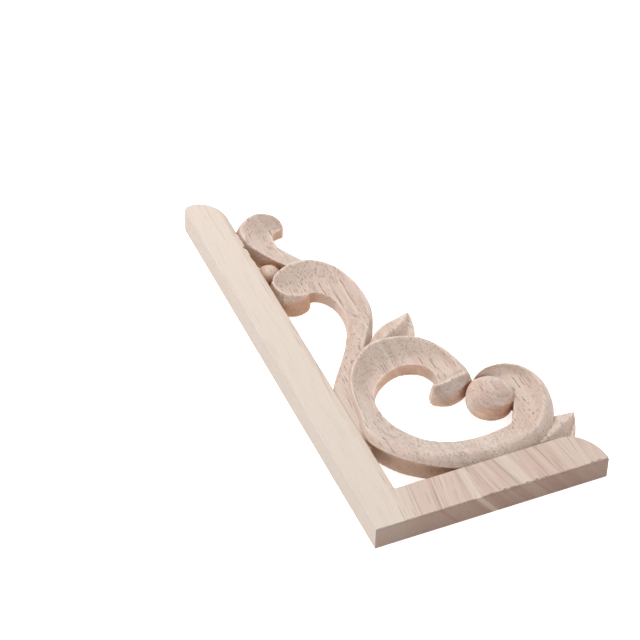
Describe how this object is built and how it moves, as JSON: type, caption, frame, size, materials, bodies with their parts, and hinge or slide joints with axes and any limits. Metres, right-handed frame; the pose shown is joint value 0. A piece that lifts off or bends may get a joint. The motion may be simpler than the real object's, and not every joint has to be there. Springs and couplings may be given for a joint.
{
  "type": "wooden corner onlay",
  "caption": "Flat carved wooden corner onlay: an L of two square-edged legs with a dished scroll, curls and pointed leaves in its angle, glued or pinned by its plain back.",
  "frame": {"origin": "mount back: on the flat back, in the middle of the corner block where the two legs meet", "axes": "+X along the short leg away from the corner, +Y along the long leg away from the corner, +Z out of the carved face"},
  "size_m": [0.128, 0.2538, 0.0132],
  "materials": {
    "pale_wood": "bare sanded hardwood, pale cream to pinkish, with fine dark pores along +Y"
  },
  "bodies": {
    "root": {"carved_corner_onlay": "pale_wood"}
  },
  "joints": []
}
